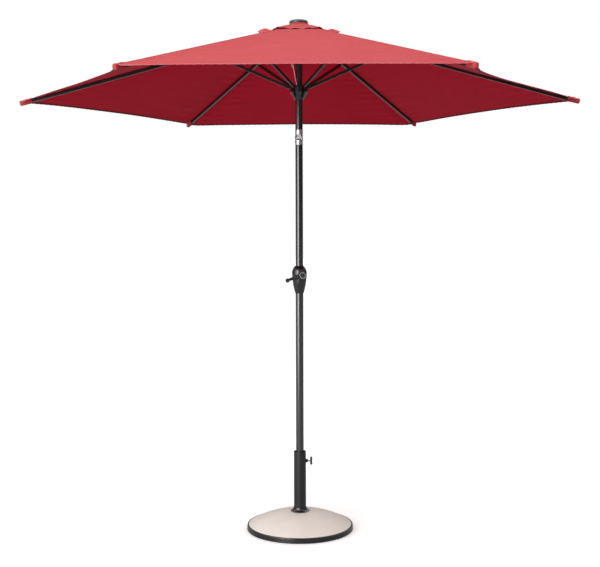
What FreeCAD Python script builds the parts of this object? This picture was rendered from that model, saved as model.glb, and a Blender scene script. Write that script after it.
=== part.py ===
"""Patio umbrella with a round weighted base: crank lift, push-button tilt, six ribs and a vented canopy.

Frame: +Z up, origin on the ground under the pole, +X to the right of the crank side, -Y toward the user.
Units are millimetres. One STEP file is written per sub-part.
"""
import FreeCAD, Part
import math
import os

from FreeCAD import Vector

# Driving dimensions -------------------------------------------------------------------------------
CANOPY_R = 1360.0          # corner of the fabric, from the pole's axis
RIB_COUNT = 6
RIB_SLOPE = 15.2           # degrees below level, canopy open
FOLDED_SLOPE = 83.0        # degrees below level, canopy closed
PIVOT_R = 35.0             # rib and strut pivots, from the pole's axis
HUB_Z = 2434.0             # height of the rib pivots
RUNNER_Z = 2142.0          # height of the strut pivots, canopy open
BRACKET_S = 400.0          # strut bracket, along the rib from its pivot
BRACKET_DROP = 20.0        # strut pivot below the rib's centre line
PIN_R = 2.0
PIVOT_GAP = 0.06           # radial clearance of a turning pivot

RIB_W, RIB_H, RIB_WALL = 12.0, 18.0, 1.2
STRUT_W, STRUT_H, STRUT_WALL = 10.0, 14.0, 1.0
FABRIC = 1.2               # thickness that stands for the cloth
FABRIC_LIFT = 10.8         # underside of the cloth over the rib's centre line
VENT_HOLE_R = 120.0        # top opening of the main canopy
VENT_R = 196.0             # corner of the vent canopy
VENT_SLOPE = 14.2

LOWER_R, UPPER_R, TUBE_WALL = 19.0, 18.0, 1.5
BASE_TUBE_R, BASE_TUBE_WALL = 29.5, 2.0
BASE_R = 257.5
BASE_TUBE_TOP = 377.0
FLANGE_Z = 66.0
KNOB_Z = 330.0
SLEEVE_TOP = 366.0
SCREW_R = 4.0
COLLAR_Z, COLLAR_TOP, COLLAR_R = 86.5, 106.0, 45.0

HOUSING_Z0, HOUSING_Z1 = 1146.0, 1279.0
CRANK_X, CRANK_Z = 16.0, 1235.0
GRIP_X, GRIP_Z = -56.0, 1212.0
DRUM_R = 10.4              # bare drum; the cord's middle lies at DRUM_R + CORD_R
CORD_R = 1.5
TILT_Z = 1905.0
SOCKET_R = 18.6
TILT_PIN_R = 2.8
BUTTON_Z, BUTTON_AZIMUTH, BUTTON_R = 1883.0, 205.0, 3.5

HUB_R, HUB_BOTTOM, HUB_TOP = 46.0, 2412.0, 2447.0
STUD_R, STUD_TOP = 5.0, 2472.0
HUB_SOCKET_TOP = 2392.0
PULLEY_R, PULLEY_AT_R, PULLEY_AZIMUTH, PULLEY_Z = 20.0, 22.0, 210.0, 2420.0
RUNNER_R, RUNNER_BORE, RUNNER_TOP, RUNNER_SHOULDER, RUNNER_BOTTOM = 44.0, 21.0, 2156.0, 2122.0, 2090.0
CORD_LOW_R, CORD_LOW_AZIMUTH = 40.0, 255.0

X, Y, Z = Vector(1, 0, 0), Vector(0, 1, 0), Vector(0, 0, 1)
ORIGIN = Vector(0, 0, 0)


# Small helpers ------------------------------------------------------------------------------------
def cylinder(radius, start, end):
    """A round bar from one point to another."""
    run = Vector(end) - Vector(start)
    return Part.makeCylinder(radius, run.Length, Vector(start), run)


def tube(outer, inner, z0, z1):
    """An upright pipe on the pole's axis."""
    return cylinder(outer, (0, 0, z0), (0, 0, z1)).cut(cylinder(inner, (0, 0, z0 - 1), (0, 0, z1 + 1)))


def block(x0, x1, y0, y1, z0, z1):
    return Part.makeBox(x1 - x0, y1 - y0, z1 - z0, Vector(x0, y0, z0))


def polar(radius, azimuth, z):
    angle = math.radians(azimuth)
    return Vector(radius * math.cos(angle), radius * math.sin(angle), z)


def turned(shape, azimuth):
    """A copy turned about the pole's axis."""
    copy = shape.copy()
    copy.rotate(ORIGIN, Z, azimuth)
    return copy


def ring_of(shape, azimuths):
    """Copies of one shape around the pole's axis, as separate solids."""
    return Part.makeCompound([turned(shape, azimuth) for azimuth in azimuths])


def revolved(edges):
    """A solid of revolution about the pole's axis, from a closed outline in the XZ plane."""
    return Part.Face(Part.Wire(Part.__sortEdges__(edges))).revolve(ORIGIN, Z, 360)


def line(a, b):
    return Part.LineSegment(Vector(a[0], 0, a[1]), Vector(b[0], 0, b[1])).toShape()


def lines(*points):
    """Straight edges through (radius, z) points."""
    return [line(a, b) for a, b in zip(points, points[1:])]


def arc(a, middle, b):
    points = [Vector(p[0], 0, p[1]) for p in (a, middle, b)]
    return Part.Arc(*points).toShape()


def turned_profile(points):
    """A solid of revolution whose outline is straight lines through (radius, z) points."""
    return revolved(lines(*points, points[0]))


def fused(first, *others):
    return first.fuse(list(others)).removeSplitter()


def cut_all(shape, *tools):
    return shape.cut(list(tools))


# Canopy linkage -----------------------------------------------------------------------------------
def rib_point(s, h, slope=RIB_SLOPE):
    """Radius and height of a point s along the rib from its pivot and h above its centre line."""
    angle = math.radians(slope)
    return (PIVOT_R + s * math.cos(angle) + h * math.sin(angle),
            HUB_Z - s * math.sin(angle) + h * math.cos(angle))


BRACKET_AT = rib_point(BRACKET_S, -BRACKET_DROP)
STRUT_LENGTH = math.hypot(BRACKET_AT[0] - PIVOT_R, BRACKET_AT[1] - RUNNER_Z)
STRUT_SLOPE = math.degrees(math.atan2(BRACKET_AT[1] - RUNNER_Z, BRACKET_AT[0] - PIVOT_R))
FOLDED_BRACKET = rib_point(BRACKET_S, -BRACKET_DROP, FOLDED_SLOPE)
FOLDED_STRUT_SLOPE = math.degrees(math.acos((FOLDED_BRACKET[0] - PIVOT_R) / STRUT_LENGTH))
RUNNER_TRAVEL = RUNNER_Z - FOLDED_BRACKET[1] + STRUT_LENGTH * math.sin(math.radians(FOLDED_STRUT_SLOPE))
RIB_END = (CANOPY_R - 12 - PIVOT_R) / math.cos(math.radians(RIB_SLOPE))
RIB_AZIMUTHS = [360.0 / RIB_COUNT * k for k in range(RIB_COUNT)]

CORD_TOP = polar(PULLEY_AT_R + PULLEY_R, PULLEY_AZIMUTH, PULLEY_Z)
CORD_LOW = polar(CORD_LOW_R, CORD_LOW_AZIMUTH, RUNNER_TOP + 0.3)
INNER_TOP = polar(PULLEY_AT_R - PULLEY_R, PULLEY_AZIMUTH, PULLEY_Z)
INNER_LOW = Vector(CRANK_X - DRUM_R - CORD_R, -12.0, CRANK_Z)
PASSAGE_R = 3.0


def inner_passage():
    """The way for the cord down the middle of the pole's solid fittings."""
    return cylinder(PASSAGE_R, INNER_LOW, INNER_TOP)


def on_rib(shape):
    """Puts a shape drawn along +X from the pivot onto the rib at azimuth 0."""
    copy = shape.copy()
    copy.rotate(ORIGIN, Y, RIB_SLOPE)
    copy.translate(Vector(PIVOT_R, 0, HUB_Z))
    return copy


def on_strut(shape):
    """Puts a shape drawn along +X from the outer pivot onto the strut at azimuth 0."""
    copy = shape.copy()
    copy.rotate(ORIGIN, Y, 180 - STRUT_SLOPE)
    copy.translate(Vector(BRACKET_AT[0], 0, BRACKET_AT[1]))
    return copy


def rib_tube():
    start, end = 26.0, RIB_END
    outer = block(start, end, -RIB_W / 2, RIB_W / 2, -RIB_H / 2, RIB_H / 2)
    outer = outer.makeFillet(1.5, [e for e in outer.Edges if abs(e.Length - (end - start)) < 1e-6])
    half_w, half_h = RIB_W / 2 - RIB_WALL, RIB_H / 2 - RIB_WALL
    return on_rib(outer.cut(block(start - 1, end + 1, -half_w, half_w, -half_h, half_h)))


def rib_fittings():
    """Hub tongue, strut bracket with its pin, and tip cap with a peg for the canopy's pocket."""
    tongue_half_w, tongue_half_h = 4.0, 7.0
    tongue = fused(block(0, 60, -tongue_half_w, tongue_half_w, -tongue_half_h, tongue_half_h),
                   cylinder(tongue_half_h, (0, -tongue_half_w, 0), (0, tongue_half_w, 0)))
    tongue = tongue.cut(cylinder(PIN_R + PIVOT_GAP, (0, -10, 0), (0, 10, 0)))
    plate_top = -RIB_H / 2
    plate = block(BRACKET_S - 15, BRACKET_S + 15, -6.4, 6.4, plate_top - 2, plate_top)
    ears = []
    for side in (-1, 1):
        y0, y1 = sorted((side * 3.6, side * 6.4))
        web = block(BRACKET_S - 6.5, BRACKET_S + 6.5, y0, y1, -BRACKET_DROP, plate_top - 2)
        boss = cylinder(6.5, (BRACKET_S, y0, -BRACKET_DROP), (BRACKET_S, y1, -BRACKET_DROP))
        ears += [web, boss]
    pin = cylinder(PIN_R, (BRACKET_S, -7.6, -BRACKET_DROP), (BRACKET_S, 7.6, -BRACKET_DROP))
    bracket = fused(plate, pin, *ears)
    plug = block(RIB_END - 30, RIB_END, -4.7, 4.7, -7.7, 7.7)
    cap = block(RIB_END, RIB_END + 8, -6.2, 6.2, -9.2, 9.2)
    peg = cylinder(3.0, (RIB_END + 8, 0, 2), (RIB_END + 14, 0, 2))
    return Part.makeCompound([on_rib(piece) for piece in (tongue, bracket, fused(plug, cap, peg))])


def strut():
    """Square tube with a flat eye at each end; the inner eye carries its own pin."""
    half_h, eye_half_w, eye_r = STRUT_H / 2, 3.0, 5.5
    body = block(13, STRUT_LENGTH - 18, -STRUT_W / 2, STRUT_W / 2, -half_h, half_h)
    body = body.makeFillet(1.2, [e for e in body.Edges if e.Length > 100])
    hollow = block(30, STRUT_LENGTH - 35, -STRUT_W / 2 + STRUT_WALL, STRUT_W / 2 - STRUT_WALL,
                   -half_h + STRUT_WALL, half_h - STRUT_WALL)
    bars = [block(0, 16, -eye_half_w, eye_half_w, -eye_r, eye_r),
            block(STRUT_LENGTH - 20, STRUT_LENGTH, -eye_half_w, eye_half_w, -eye_r, eye_r)]
    rounds = [cylinder(eye_r, (u, -eye_half_w, 0), (u, eye_half_w, 0)) for u in (0, STRUT_LENGTH)]
    pin = cylinder(PIN_R, (STRUT_LENGTH, -5.2, 0), (STRUT_LENGTH, 5.2, 0))
    solid = fused(body.cut(hollow), pin, *bars, *rounds)
    return on_strut(solid.cut(cylinder(PIN_R + PIVOT_GAP, (0, -10, 0), (0, 10, 0))))


def cloth_plate(points, thickness):
    """A flat sheet of cloth on its lower outline, thickened upward."""
    wire = Part.makePolygon(points + [points[0]])
    face = Part.Face(wire)
    normal = (points[1] - points[0]).cross(points[2] - points[0]).normalize()
    if normal.z < 0:
        normal = normal * -1
    return face.extrude(normal * thickness)


def seam_point(radius, azimuth, lift=FABRIC_LIFT):
    """A point on the seam over a rib, on the cloth's underside."""
    angle = math.radians(RIB_SLOPE)
    s = (radius - PIVOT_R - lift * math.sin(angle)) / math.cos(angle)
    r, z = rib_point(s, lift)
    return polar(r, azimuth, z)


def canopy_panel():
    """The two half-gores that meet in the seam over the rib at azimuth 0."""
    step, gap, hem_curve = 360.0 / RIB_COUNT, 0.02, 0.981
    plates = []
    for side in (-1, 1):
        top, corner = seam_point(VENT_HOLE_R, 0), seam_point(CANOPY_R, 0)
        middle = []
        for radius, inward in ((VENT_HOLE_R, 1.0), (CANOPY_R, hem_curve)):
            chord = (seam_point(radius, 0) + seam_point(radius, side * step)) * 0.5
            apex = (seam_point(1.0, 0) + seam_point(1.0, side * step)) * 0.5
            point = apex + (chord - apex) * inward
            middle.append(polar(math.hypot(point.x, point.y), side * (step / 2 - gap), point.z))
        plates.append(cloth_plate([top, corner, middle[1], middle[0]], FABRIC))
    return Part.makeCompound(plates)


def vent_panel():
    """The two half-gores of the small top canopy that meet over the rib at azimuth 0."""
    inner_r, inner_z, gap, step = 24.0, 2456.0, 0.02, 360.0 / RIB_COUNT
    corner_z = inner_z - (VENT_R - inner_r) * math.tan(math.radians(VENT_SLOPE))
    to_middle = math.cos(math.radians(step / 2))
    plates = []
    for side in (-1, 1):
        azimuth = side * (step / 2 - gap)
        points = [polar(inner_r, 0, inner_z), polar(VENT_R, 0, corner_z),
                  polar(VENT_R * to_middle, azimuth, corner_z), polar(inner_r * to_middle, azimuth, inner_z)]
        plates.append(cloth_plate(points, FABRIC))
    return Part.makeCompound(plates)


# Top hub, pulley and runner -----------------------------------------------------------------------
def slots(inner_r, width, z0, z1, azimuths):
    slot = block(inner_r, 80, -width / 2, width / 2, z0, z1)
    return [turned(slot, azimuth) for azimuth in azimuths]


def top_hub():
    """Slotted crown with a skirt round the pole, a slot for the pulley and a stud for the finial."""
    skirt_z, skirt_r = 2360.0, 26.0
    body = turned_profile([(0, HUB_SOCKET_TOP), (UPPER_R + 0.05, HUB_SOCKET_TOP), (UPPER_R + 0.05, skirt_z),
                           (skirt_r, skirt_z), (skirt_r, HUB_BOTTOM - 4), (HUB_R - 4, HUB_BOTTOM),
                           (HUB_R, HUB_BOTTOM + 4), (HUB_R, HUB_TOP - 3), (HUB_R - 3, HUB_TOP),
                           (STUD_R, HUB_TOP), (STUD_R, STUD_TOP), (0, STUD_TOP)])
    tools = slots(26.5, 9.0, HUB_BOTTOM - 10, HUB_TOP + 1, RIB_AZIMUTHS)
    pulley_slot = block(-1.5, 80, -4.6, 4.6, 2396.5, 2443.5)
    tools.append(turned(pulley_slot, PULLEY_AZIMUTH))
    tools.append(inner_passage())
    tools += hub_pins(PIN_R + 0.02, 8.6).Solids
    tools.append(pulley_pin(PIN_R + 0.02, 10.2))
    return cut_all(body, *tools)


def hub_pins(radius=PIN_R, reach=8.5):
    pin = cylinder(radius, (PIVOT_R, -reach, HUB_Z), (PIVOT_R, reach, HUB_Z))
    return ring_of(pin, RIB_AZIMUTHS)


def pulley_pin(radius=PIN_R, reach=10.0):
    pin = cylinder(radius, (PULLEY_AT_R, -reach, PULLEY_Z), (PULLEY_AT_R, reach, PULLEY_Z))
    return turned(pin, PULLEY_AZIMUTH)


def pulley():
    """Grooved wheel that brings the cord from inside the pole to its outside."""
    rim_r, groove_r = PULLEY_R + 1.3, PULLEY_R - CORD_R - 0.1
    wheel = turned_profile([(PIN_R + PIVOT_GAP, -4), (rim_r, -4), (groove_r, -1.6), (groove_r, 1.6),
                            (rim_r, 4), (PIN_R + PIVOT_GAP, 4)])
    wheel.rotate(ORIGIN, X, 90)
    wheel.translate(Vector(PULLEY_AT_R, 0, PULLEY_Z))
    return turned(wheel, PULLEY_AZIMUTH)


def finial():
    """Low domed cap on the hub's stud."""
    rim_r, low, high, edge_z = HUB_R, 2458.0, 2480.0, 2472.6
    foot_r, foot_z = 12.0, 2454.0
    edge_r = rim_r - 3
    dome_r = (edge_r ** 2 + (high - edge_z) ** 2) / (2 * (high - edge_z))
    half_way = edge_r / 2
    dome_middle = (half_way, high - dome_r + math.sqrt(dome_r ** 2 - half_way ** 2))
    edges = lines((0, high), (0, foot_z), (foot_r, foot_z), (foot_r + 2, low), (rim_r - 2, low))
    edges.append(arc((rim_r - 2, low), (rim_r, low + 5), (edge_r, edge_z)))
    edges.append(arc((edge_r, edge_z), dome_middle, (0, high)))
    stud_hole = cylinder(STUD_R + 0.05, (0, 0, 2450), (0, 0, STUD_TOP + 0.3))
    return revolved(edges).cut(stud_hole)


def runner():
    """Slotted crown on a tapered collar that slides on the pole."""
    body = turned_profile([(RUNNER_BORE, RUNNER_BOTTOM), (RUNNER_BORE + 2.5, RUNNER_BOTTOM),
                           (RUNNER_R - 2, RUNNER_SHOULDER), (RUNNER_R, RUNNER_SHOULDER + 3),
                           (RUNNER_R, RUNNER_TOP - 2), (RUNNER_R - 2, RUNNER_TOP),
                           (RUNNER_BORE, RUNNER_TOP)])
    body = cut_all(body, *slots(27.0, 11.4, RUNNER_BOTTOM - 1, RUNNER_TOP + 1, RIB_AZIMUTHS))
    boss = cylinder(5.0, polar(RUNNER_R - 6, CORD_LOW_AZIMUTH + 4, RUNNER_Z + 4),
                    polar(RUNNER_R + 2.5, CORD_LOW_AZIMUTH + 4, RUNNER_Z + 4))
    return fused(body, boss)


def lift_cord():
    """The part of the lifting cord outside the pole, from the pulley to the runner."""
    return cylinder(CORD_R, CORD_TOP, CORD_LOW)


def inner_cord():
    """The lifting cord inside the pole, from the winding drum to the pulley."""
    return cylinder(CORD_R, INNER_LOW, INNER_TOP)


# Upper pole and tilt joint ------------------------------------------------------------------------
EAR_R = 13.0
TONGUE_W = 9.0
TILT_GAP = 14.0            # from the pin's axis to the head above and the body below
UPPER_TUBE_Z, MIDDLE_TUBE_TOP = 1942.0, 1869.0
PLUG_GAP = 0.1
PLUG_R = UPPER_R - TUBE_WALL - 0.05


def upper_tube():
    return tube(UPPER_R, UPPER_R - TUBE_WALL, UPPER_TUBE_Z, HUB_SOCKET_TOP - 0.2)


def tilt_knuckle():
    """Upper half of the tilt joint: a plug in the upper tube, a head and a tongue."""
    low, edge, plug_top = TILT_Z + TILT_GAP, UPPER_TUBE_Z - PLUG_GAP, UPPER_TUBE_Z + 30
    head = turned_profile([(0, low), (SOCKET_R, low), (SOCKET_R, edge), (PLUG_R, edge), (PLUG_R, plug_top),
                           (0, plug_top)])
    tongue = fused(block(-TONGUE_W, TONGUE_W, -EAR_R, EAR_R, TILT_Z, low + 2),
                   cylinder(EAR_R, (-TONGUE_W, 0, TILT_Z), (TONGUE_W, 0, TILT_Z)))
    bore = cylinder(TILT_PIN_R + PIVOT_GAP, (-20, 0, TILT_Z), (20, 0, TILT_Z))
    return cut_all(fused(head, tongue), bore, inner_passage())


def button_axis(radius):
    return polar(radius, BUTTON_AZIMUTH, BUTTON_Z)


def tilt_socket():
    """Lower half of the tilt joint: a plug in the middle tube, a body and two ears."""
    top, edge, plug_low = TILT_Z - TILT_GAP, MIDDLE_TUBE_TOP + PLUG_GAP, MIDDLE_TUBE_TOP - 29
    body = turned_profile([(0, plug_low), (PLUG_R, plug_low), (PLUG_R, edge), (SOCKET_R, edge),
                           (SOCKET_R, top), (0, top)])
    ears = cylinder(SOCKET_R, (0, 0, top), (0, 0, TILT_Z + EAR_R))
    side_view = fused(block(-30, 30, -EAR_R, EAR_R, top - 1, TILT_Z),
                      cylinder(EAR_R, (-30, 0, TILT_Z), (30, 0, TILT_Z)))
    gap = TONGUE_W + 0.3
    ears = ears.common(side_view).cut(block(-gap, gap, -30, 30, top, TILT_Z + 30))
    bore = cylinder(TILT_PIN_R + 0.02, (-30, 0, TILT_Z), (30, 0, TILT_Z))
    pocket = cylinder(BUTTON_R + 0.1, button_axis(8.2), button_axis(30))
    return cut_all(fused(body, *ears.Solids), bore, pocket, inner_passage())


def tilt_pin():
    head = cylinder(4.6, (-20.2, 0, TILT_Z), (-SOCKET_R, 0, TILT_Z))
    shank = cylinder(TILT_PIN_R, (-SOCKET_R - 1, 0, TILT_Z), (18.2, 0, TILT_Z))
    return fused(shank, head)


def tilt_button():
    face, shoulder, tip = 20.2, 13.5, 12.0
    return fused(cylinder(BUTTON_R, button_axis(shoulder), button_axis(face)),
                 cylinder(2.0, button_axis(tip), button_axis(shoulder + 0.5)))


def button_spring():
    """Four turns of wire behind the button."""
    axis = button_axis(1.0) - button_axis(0)
    first, pitch = 8.9, 1.15
    centres = [button_axis(first + pitch * k) for k in range(4)]
    return Part.makeCompound([Part.makeTorus(2.7, 0.4, centre, axis) for centre in centres])


def middle_tube():
    return tube(UPPER_R, UPPER_R - TUBE_WALL, 1252.0, MIDDLE_TUBE_TOP)


# Crank --------------------------------------------------------------------------------------------
CAVITY_R = 14.8
BOSS_R = 17.5
BOSS_FACE = -40.0
SCREW_PLACES = ((-26, 1215), (-26, 1250), (25.5, 1203), (-22, 1176))


def crank_axis_bar(radius, y0, y1):
    return cylinder(radius, (CRANK_X, y0, CRANK_Z), (CRANK_X, y1, CRANK_Z))


def housing_solid():
    """Egg-shaped body with a round boss on the crank's axis and a lens-shaped recess below it."""
    widest, low_edge, high_edge = (35.5, 1234.0), (20.5, HOUSING_Z0), (22, HOUSING_Z1)
    edges = lines(high_edge, (0, HOUSING_Z1), (0, HOUSING_Z0), low_edge)
    body = revolved(edges + [arc(low_edge, (30.8, 1188), widest), arc(widest, (32.6, 1262), high_edge)])
    body = fused(body, crank_axis_bar(BOSS_R, BOSS_FACE, 0))
    lens_r, lens_offset, lens_z = 42.0, 35.0, 1182.0
    lens = cylinder(lens_r, (-lens_offset, -60, lens_z), (-lens_offset, -26.5, lens_z)).common(
        cylinder(lens_r, (lens_offset, -60, lens_z), (lens_offset, -26.5, lens_z)))
    inside = [cylinder(LOWER_R + 0.05, (0, 0, HOUSING_Z0 - 1), (0, 0, 1200)),
              cylinder(UPPER_R + 0.05, (0, 0, 1252), (0, 0, HOUSING_Z1 + 1)),
              cylinder(9.0, (0, 0, 1190), (0, 0, 1260)),
              crank_axis_bar(CAVITY_R, -32, 6), crank_axis_bar(4.06, -60, 22), lens,
              cylinder(PASSAGE_R, INNER_LOW, INNER_LOW + Vector(-0.5, 1, 60))]
    screw_holes = housing_screws(2.05, 4.6, 30.0).Solids
    return cut_all(body, *inside, *screw_holes)


def housing_front():
    return housing_solid().common(block(-80, 80, -80, 0, 1100, 1300))


def housing_back():
    return housing_solid().common(block(-80, 80, 0, 80, 1100, 1300))


def housing_screws(shank_r=2.0, head_r=4.5, head_end=11.0):
    """Four screws from the back that hold the two shells together."""
    head_start = 8.0
    screws = []
    for x, z in SCREW_PLACES:
        shank = cylinder(shank_r, (x, -12, z), (x, head_end, z))
        screws.append(fused(shank, cylinder(head_r, (x, head_start, z), (x, head_end, z))))
    return Part.makeCompound(screws)


def winding_drum():
    """Drum with two flanges and its shaft."""
    return fused(crank_axis_bar(DRUM_R, -22, 2), crank_axis_bar(14.0, -24, -22), crank_axis_bar(14.0, 2, 4),
                 crank_axis_bar(4.0, -49.5, 20))


def brake_spring():
    """Wrap spring round the shaft, which holds the drum against the canopy's weight."""
    return Part.makeCompound([Part.makeTorus(5.2, 0.75, Vector(CRANK_X, -31 + 1.55 * k, CRANK_Z), Y)
                              for k in range(4)])


HUB_FACE = -50.0           # front of the crank's hub
ARM_FRONT, ARM_BACK = -49.0, -43.0
CAP_R = 15.5
RING_IN, RING_OUT = 12.6, 14.2
GRIP_END = 102.7


def crank_arm():
    """Round hub, an arm that tapers outward, and the pin that carries the grip."""
    hub = crank_axis_bar(20.0, HUB_FACE, -41.0)
    run = Vector(GRIP_X - CRANK_X, 0, GRIP_Z - CRANK_Z)
    beside = Vector(-run.z, 0, run.x).normalize()
    near, far = Vector(CRANK_X, ARM_FRONT, CRANK_Z), Vector(GRIP_X, ARM_FRONT, GRIP_Z)
    hub_half, eye_half = 12.5, 5.5
    outline = [near + beside * hub_half, far + beside * eye_half,
               far - beside * eye_half, near - beside * hub_half]
    bar = Part.Face(Part.makePolygon(outline + outline[:1])).extrude(Vector(0, ARM_BACK - ARM_FRONT, 0))
    eye = cylinder(7.5, (GRIP_X, ARM_FRONT - 0.5, GRIP_Z), (GRIP_X, ARM_BACK + 0.5, GRIP_Z))
    pin = cylinder(3.0, (GRIP_X, -GRIP_END - 0.3, GRIP_Z), (GRIP_X, -48, GRIP_Z))
    pin_head = cylinder(5.0, (GRIP_X, -GRIP_END - 2.3, GRIP_Z), (GRIP_X, -GRIP_END - 0.3, GRIP_Z))
    return fused(hub, bar, eye, pin, pin_head).cut(crank_axis_bar(4.03, -60, -30))


def facing_front(shape):
    """Puts a shape turned about +Z onto the crank's axis, facing -Y."""
    shape.rotate(ORIGIN, X, 90)
    shape.translate(Vector(CRANK_X, 0, CRANK_Z))
    return shape


def crank_cap():
    """Plain domed disc over the crank's hub, with a groove for its ring."""
    back = -HUB_FACE + 0.2
    edge, groove, face, middle = back + 2.2, back + 2.4, back + 3.0, back + 4.0
    return facing_front(turned_profile([(0, back), (CAP_R, back), (CAP_R, edge), (CAP_R - 0.9, face),
                                        (RING_OUT, face), (RING_OUT, groove), (RING_IN, groove),
                                        (RING_IN, face + 0.2), (0, middle)]))


def crank_ring():
    """Plain inlaid ring in the cap's groove."""
    floor = -HUB_FACE + 2.6
    return facing_front(tube(RING_OUT - 0.05, RING_IN + 0.05, floor + 0.05, floor + 1.0))


def crank_grip():
    """Barrel-shaped handle that spins on the arm's pin."""
    near, near_r, middle_r, far_r, bore_r = 50.2, 8.4, 10.4, 8.8, 3.06
    edges = lines((far_r, GRIP_END), (bore_r, GRIP_END), (bore_r, near), (near_r, near))
    edges.append(arc((near_r, near), (middle_r, (near + GRIP_END) / 2), (far_r, GRIP_END)))
    grip = revolved(edges)
    grip.rotate(ORIGIN, X, 90)
    grip.translate(Vector(GRIP_X, 0, GRIP_Z))
    return grip


# Lower pole and base ------------------------------------------------------------------------------
def lower_tube():
    return tube(LOWER_R, LOWER_R - TUBE_WALL, 78.0, 1199.9)


def foot_plug():
    """Plastic foot that closes the pole and stands in the base."""
    plug_r = LOWER_R - TUBE_WALL - 0.05
    return turned_profile([(0, 72.5), (LOWER_R - 2, 72.5), (LOWER_R, 74.5), (LOWER_R, 77.9), (plug_r, 77.9),
                           (plug_r, 120), (plug_r - 2.5, 120), (plug_r - 2.5, 82), (0, 82)])


def pole_sleeve():
    """Reducing sleeve between the base tube and the pole, slit except behind the clamp screw."""
    bottom, fit, half_slit, bridge = 250.0, 0.1, 1.5, 20.0
    ring = tube(BASE_TUBE_R - BASE_TUBE_WALL - fit, LOWER_R + fit, bottom, SLEEVE_TOP)
    slit = block(15, 40, -half_slit, half_slit, bottom - 10, SLEEVE_TOP + 10)
    kept = block(15, 40, -half_slit * 2, half_slit * 2, KNOB_Z - bridge, KNOB_Z + bridge)
    return ring.cut(slit.cut(kept))


def base_tube():
    """Steel tube welded to its round flange, with a threaded boss for the clamp screw."""
    pipe = tube(BASE_TUBE_R, BASE_TUBE_R - BASE_TUBE_WALL, FLANGE_Z + 6, BASE_TUBE_TOP)
    flange = cylinder(70, (0, 0, FLANGE_Z), (0, 0, FLANGE_Z + 6))
    boss = Part.makeCone(11.0, 6.2, 12.0, Vector(BASE_TUBE_R - 2, 0, KNOB_Z), X)
    whole = fused(pipe, flange, boss.cut(cylinder(BASE_TUBE_R - 0.5, (0, 0, 200), (0, 0, 400))))
    bores = [cylinder(SCREW_R + PIVOT_GAP, (20, 0, KNOB_Z), (60, 0, KNOB_Z))] + flange_bolts(4.05).Solids
    return cut_all(whole, *bores)


HANDLE_X, HANDLE_R, HANDLE_HALF = 55.0, 5.2, 14.5
CLAMP_START, CLAMP_END = 28.0, 57.0


def clamp_screw():
    """Threaded screw that presses the sleeve; its shank turns in the boss."""
    return cylinder(SCREW_R, (CLAMP_START, 0, KNOB_Z), (CLAMP_END, 0, KNOB_Z))


def knob_handle():
    """T-shaped hand grip moulded on the clamp screw's end."""
    neck_x = 48.5
    neck = Part.makeCone(5.4, 6.4, HANDLE_X - neck_x, Vector(neck_x, 0, KNOB_Z), X)
    bar = cylinder(HANDLE_R, (HANDLE_X, 0, KNOB_Z - HANDLE_HALF), (HANDLE_X, 0, KNOB_Z + HANDLE_HALF))
    tips = [Vector(HANDLE_X, 0, KNOB_Z + side * HANDLE_HALF) for side in (-1, 1)]
    ends = [Part.makeSphere(HANDLE_R + 0.6, tip) for tip in tips]
    bore = cylinder(SCREW_R + 0.02, (CLAMP_START, 0, KNOB_Z), (CLAMP_END + 0.02, 0, KNOB_Z))
    return fused(neck, bar, *ends).cut(bore)


def flange_bolts(shank_r=4.0):
    """Four bolts that hold the flange to the ballast."""
    bolts = []
    for azimuth in (45, 135, 225, 315):
        shank = cylinder(shank_r, polar(54, azimuth, 38), polar(54, azimuth, FLANGE_Z + 7))
        head = cylinder(6.5, polar(54, azimuth, FLANGE_Z + 6.05), polar(54, azimuth, FLANGE_Z + 11))
        bolts.append(fused(shank, head))
    return Part.makeCompound(bolts)


def collar():
    """Trim ring round the foot of the base tube: a thin foot and a hollow flare up to the tube."""
    inner_r, lip_r = BASE_TUBE_R + 0.15, BASE_TUBE_R + 2
    foot_edge, lip_edge = (COLLAR_R, COLLAR_Z + 2.5), (lip_r, COLLAR_TOP)
    flare = arc(foot_edge, (lip_r + 4.2, COLLAR_Z + 9), lip_edge)
    inside_and_foot = lines(lip_edge, (inner_r, COLLAR_TOP), (inner_r, COLLAR_Z), (COLLAR_R, COLLAR_Z), foot_edge)
    return revolved(inside_and_foot + [flare])


DOME_EDGE = (248.5, 26.0)
DOME_MIDDLE = (150.0, 67.0)
DOME_TOP = (33.0, COLLAR_Z)


def base_cover():
    """Domed shell of the base, open below."""
    wall, low = 4.0, 12.0
    inner_top = (DOME_TOP[0], DOME_TOP[1] - wall)
    inner_edge = (DOME_EDGE[0] - wall, 22)
    outer = arc(DOME_TOP, DOME_MIDDLE, DOME_EDGE)
    inner = arc(inner_top, (DOME_MIDDLE[0] - 1, DOME_MIDDLE[1] - wall), inner_edge)
    skirt = lines(DOME_EDGE, (DOME_EDGE[0], low), (inner_edge[0], low), inner_edge)
    return revolved([outer, inner, line(DOME_TOP, inner_top)] + skirt)


def ballast():
    """Cast concrete weight under the cover, flat on top for the flange."""
    flat_r, side_r, low, shoulder, top = 76.0, 236.0, 7.0, 22.0, FLANGE_Z - 0.05
    edges = lines((flat_r, top), (0, top), (0, low), (side_r, low), (side_r, shoulder))
    edges.append(arc((side_r, shoulder), (DOME_MIDDLE[0] - 4, DOME_MIDDLE[1] - 9), (flat_r, top)))
    return cut_all(revolved(edges), *flange_bolts(4.05).Solids)


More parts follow.
